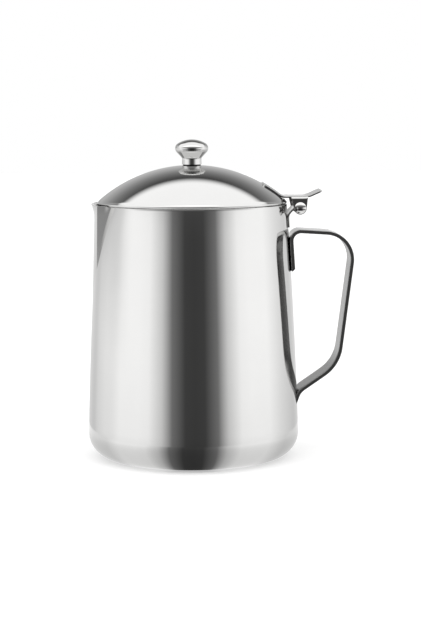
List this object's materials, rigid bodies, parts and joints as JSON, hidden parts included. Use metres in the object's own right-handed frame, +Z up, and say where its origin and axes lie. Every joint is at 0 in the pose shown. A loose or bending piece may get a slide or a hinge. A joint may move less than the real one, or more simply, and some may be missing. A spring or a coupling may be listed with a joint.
{
  "type": "hot milk jug with hinged lid",
  "caption": "Tapered polished steel jug with a pressed spout, a bent strap handle and a domed lid with a knob that hinges up from a thumb press above the handle.",
  "frame": {"origin": "centre of the flat base, on the surface the jug stands on", "axes": "+Z up along the jug's axis, +X towards the handle and the hinge, the spout towards -X, the hinge pin along Y"},
  "size_m": [0.1511, 0.12, 0.1806],
  "materials": {
    "jug_body": "polished stainless steel",
    "handle": "polished stainless steel",
    "hinge_bracket": "polished stainless steel",
    "hinge_pin": "polished stainless steel",
    "lid": "polished stainless steel",
    "lid_lever": "polished stainless steel",
    "knob": "polished stainless steel",
    "knob_screw": "plain stainless steel",
    "screw_washer": "plain stainless steel"
  },
  "bodies": {
    "jug": {"jug_body": "jug_body", "handle": "handle", "hinge_bracket": "hinge_bracket"},
    "lid": {"lid": "lid", "lid_lever": "lid_lever", "hinge_pin": "hinge_pin", "knob": "knob", "knob_screw": "knob_screw", "screw_washer": "screw_washer"}
  },
  "joints": [
    {"name": "lid_hinge", "type": "hinge", "parent": "jug", "child": "lid", "pos_m": [0.0605, 0, 0.142], "axis": [0, 1, 0], "range_deg": [0, 88]}
  ]
}
